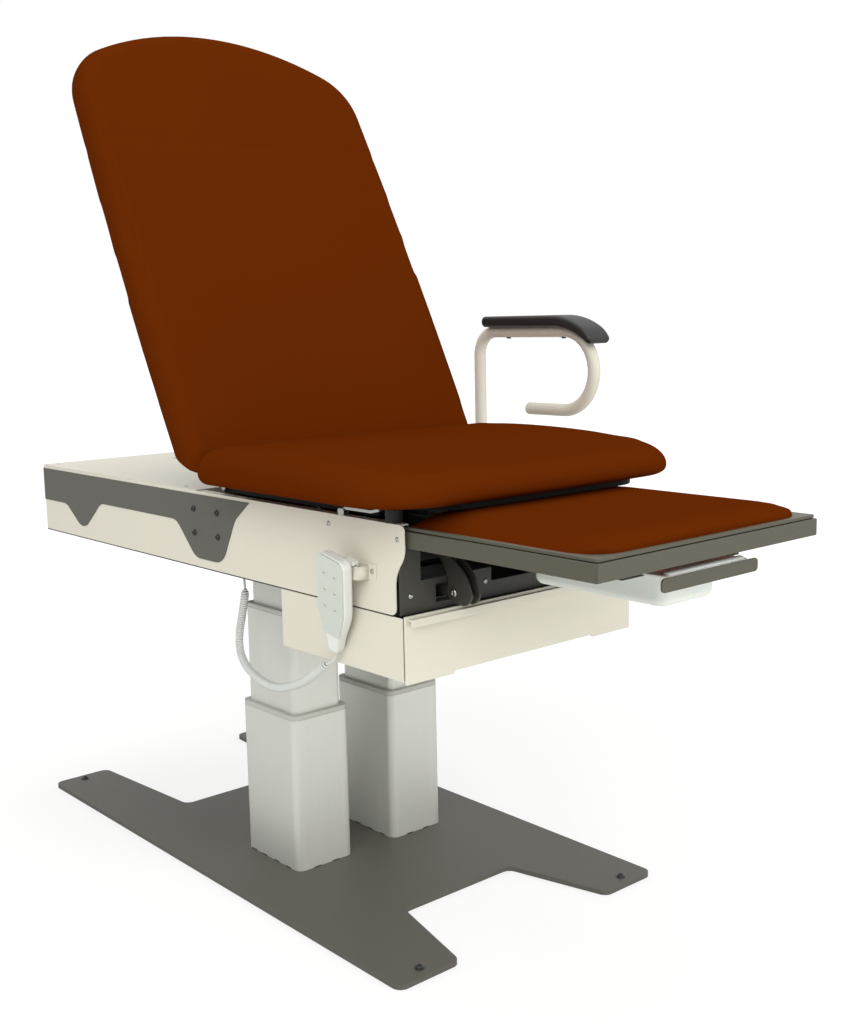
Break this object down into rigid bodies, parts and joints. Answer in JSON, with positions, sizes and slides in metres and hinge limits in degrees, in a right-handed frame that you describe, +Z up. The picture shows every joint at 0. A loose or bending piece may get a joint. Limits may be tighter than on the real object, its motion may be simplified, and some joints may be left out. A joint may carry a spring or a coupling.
{
  "type": "examination table",
  "caption": "Powered examination table: raised backrest, tilting seat, pull-out leg rest with basin, stirrups, drawer, twin telescopic columns, armrest and corded hand control.",
  "frame": {"origin": "middle of the base plate's underside, on the floor", "axes": "+Z up, -Y towards the foot end, +X to the side with the armrest"},
  "size_m": [0.797, 1.6785, 1.6548],
  "materials": {
    "warm_grey_paint": "satin powder coat",
    "silver_anodised": "anodised, brushed along the length",
    "collar_plastic": "fine texture",
    "cream_paint": "fine-texture powder coat",
    "charcoal_paint": "satin",
    "olive_paint": "satin",
    "black_paint": "satin",
    "upholstery": "smooth vinyl, faint grain",
    "zinc": "bright zinc plate",
    "black_plastic": "fine texture",
    "black_rubber": "matt",
    "pan_plastic": "translucent white",
    "handset_plastic": "smooth white",
    "keypad_film": "satin film",
    "cord_jacket": "smooth light grey jacket"
  },
  "bodies": {
    "base": {"base_plate": "warm_grey_paint", "leveling_feet": "black_plastic", "near_outer_column": "silver_anodised", "far_outer_column": "silver_anodised", "outer_collars": "collar_plastic"},
    "near_middle": {"near_middle_column": "silver_anodised", "near_middle_collar": "collar_plastic"},
    "far_middle": {"far_middle_column": "silver_anodised", "far_middle_collar": "collar_plastic"},
    "upper": {"near_inner_column": "silver_anodised", "far_inner_column": "silver_anodised", "chassis": "charcoal_paint", "hinge_pins": "zinc", "bottom_pan": "charcoal_paint", "near_side_panel": "cream_paint", "far_side_panel": "cream_paint", "near_accent_plate": "warm_grey_paint", "far_accent_plate": "warm_grey_paint", "accent_screws": "black_plastic", "head_cover": "cream_paint", "front_panel": "charcoal_paint", "panel_screws": "zinc", "seat_bumpers": "black_rubber", "drawer_housing": "cream_paint", "prop_bracket": "zinc", "actuator_motor": "black_plastic", "control_box": "black_plastic", "armrest_bracket": "cream_paint", "handset_bracket": "cream_paint", "cord_gland": "cord_jacket", "handset_cord": "cord_jacket"},
    "drawer": {"drawer_tray": "cream_paint", "drawer_front": "cream_paint"},
    "seat": {"seat_frame": "black_paint", "seat_pad": "upholstery"},
    "prop": {"seat_prop": "zinc"},
    "back": {"back_frame": "black_paint", "back_pad": "upholstery"},
    "rod": {"actuator_rod": "zinc"},
    "leg": {"leg_frame": "olive_paint", "leg_pad": "upholstery", "pan_rails": "charcoal_paint"},
    "pan": {"treatment_pan": "pan_plastic", "pan_handle": "olive_paint"},
    "near_stirrup": {"near_stirrup_bar": "charcoal_paint"},
    "near_fork": {"near_heel_fork": "charcoal_paint"},
    "far_stirrup": {"far_stirrup_bar": "charcoal_paint"},
    "far_fork": {"far_heel_fork": "charcoal_paint"},
    "armrest": {"armrest_tube": "cream_paint", "armrest_pad": "black_plastic"},
    "handset": {"handset_shell": "handset_plastic", "keypad_plate": "keypad_film"},
    "key_1": {"key_1": "keypad_film"},
    "key_2": {"key_2": "keypad_film"},
    "key_3": {"key_3": "keypad_film"},
    "key_4": {"key_4": "keypad_film"},
    "key_5": {"key_5": "keypad_film"},
    "key_6": {"key_6": "keypad_film"}
  },
  "joints": [
    {"name": "near_lift", "type": "slide", "parent": "base", "child": "near_middle", "axis": [0, 0, 1], "range_m": [-0.19, 0]},
    {"name": "far_lift", "type": "slide", "parent": "base", "child": "far_middle", "axis": [0, 0, 1], "range_m": [-0.19, 0]},
    {"name": "upper_lift", "type": "slide", "parent": "near_middle", "child": "upper", "axis": [0, 0, 1], "range_m": [-0.07, 0.115]},
    {"name": "drawer_slide", "type": "slide", "parent": "upper", "child": "drawer", "axis": [0, -1, 0], "range_m": [0, 0.28]},
    {"name": "seat_tilt", "type": "hinge", "parent": "upper", "child": "seat", "pos_m": [0, -0.058, 0.757], "axis": [-1, 0, 0], "range_deg": [0, 7]},
    {"name": "prop_swing", "type": "hinge", "parent": "upper", "child": "prop", "pos_m": [-0.261, -0.448, 0.752], "axis": [-1, 0, 0], "range_deg": [0, 33]},
    {"name": "back_raise", "type": "hinge", "parent": "upper", "child": "back", "pos_m": [0, -0.058, 0.757], "axis": [1, 0, 0], "range_deg": [-63, 7]},
    {"name": "rod_slide", "type": "slide", "parent": "upper", "child": "rod", "axis": [0, 1, 0], "range_m": [-0.0886, 0.0099]},
    {"name": "leg_slide", "type": "slide", "parent": "upper", "child": "leg", "axis": [0, 1, 0], "range_m": [0, 0.365]},
    {"name": "pan_slide", "type": "slide", "parent": "leg", "child": "pan", "axis": [0, -1, 0], "range_m": [0, 0.25]},
    {"name": "near_stirrup_slide", "type": "slide", "parent": "upper", "child": "near_stirrup", "axis": [0, -1, 0], "range_m": [0, 0.3]},
    {"name": "near_fork_swing", "type": "hinge", "parent": "near_stirrup", "child": "near_fork", "pos_m": [-0.157, -0.636, 0.622], "axis": [1, 0, 0], "range_deg": [0, 95]},
    {"name": "far_stirrup_slide", "type": "slide", "parent": "upper", "child": "far_stirrup", "axis": [0, -1, 0], "range_m": [0, 0.3]},
    {"name": "far_fork_swing", "type": "hinge", "parent": "far_stirrup", "child": "far_fork", "pos_m": [0.157, -0.636, 0.622], "axis": [1, 0, 0], "range_deg": [0, 95]},
    {"name": "armrest_swivel", "type": "hinge", "parent": "upper", "child": "armrest", "pos_m": [0.41, -0.0685, 0.688], "axis": [0, 0, 1], "range_deg": [0, 90]},
    {"name": "handset_lift", "type": "slide", "parent": "upper", "child": "handset", "axis": [-0.1685, -0.2419, 0.9556], "range_m": [0, 0.06]},
    {"name": "key_1_press", "type": "slide", "parent": "handset", "child": "key_1", "axis": [0.9848, 0, 0.1736], "range_m": [0, 0.0008], "stiffness_N_per_m": 1500},
    {"name": "key_2_press", "type": "slide", "parent": "handset", "child": "key_2", "axis": [0.9848, 0, 0.1736], "range_m": [0, 0.0008], "stiffness_N_per_m": 1500},
    {"name": "key_3_press", "type": "slide", "parent": "handset", "child": "key_3", "axis": [0.9848, 0, 0.1736], "range_m": [0, 0.0008], "stiffness_N_per_m": 1500},
    {"name": "key_4_press", "type": "slide", "parent": "handset", "child": "key_4", "axis": [0.9848, 0, 0.1736], "range_m": [0, 0.0008], "stiffness_N_per_m": 1500},
    {"name": "key_5_press", "type": "slide", "parent": "handset", "child": "key_5", "axis": [0.9848, 0, 0.1736], "range_m": [0, 0.0008], "stiffness_N_per_m": 1500},
    {"name": "key_6_press", "type": "slide", "parent": "handset", "child": "key_6", "axis": [0.9848, 0, 0.1736], "range_m": [0, 0.0008], "stiffness_N_per_m": 1500}
  ],
  "couplings": [
    {"joint": "far_lift", "follows": "near_lift", "ratio": 1},
    {"joint": "rod_slide", "follows": "back_raise", "m_per_rad": 0.0805},
    {"joint": "prop_swing", "follows": "seat_tilt", "ratio": 4.7}
  ]
}
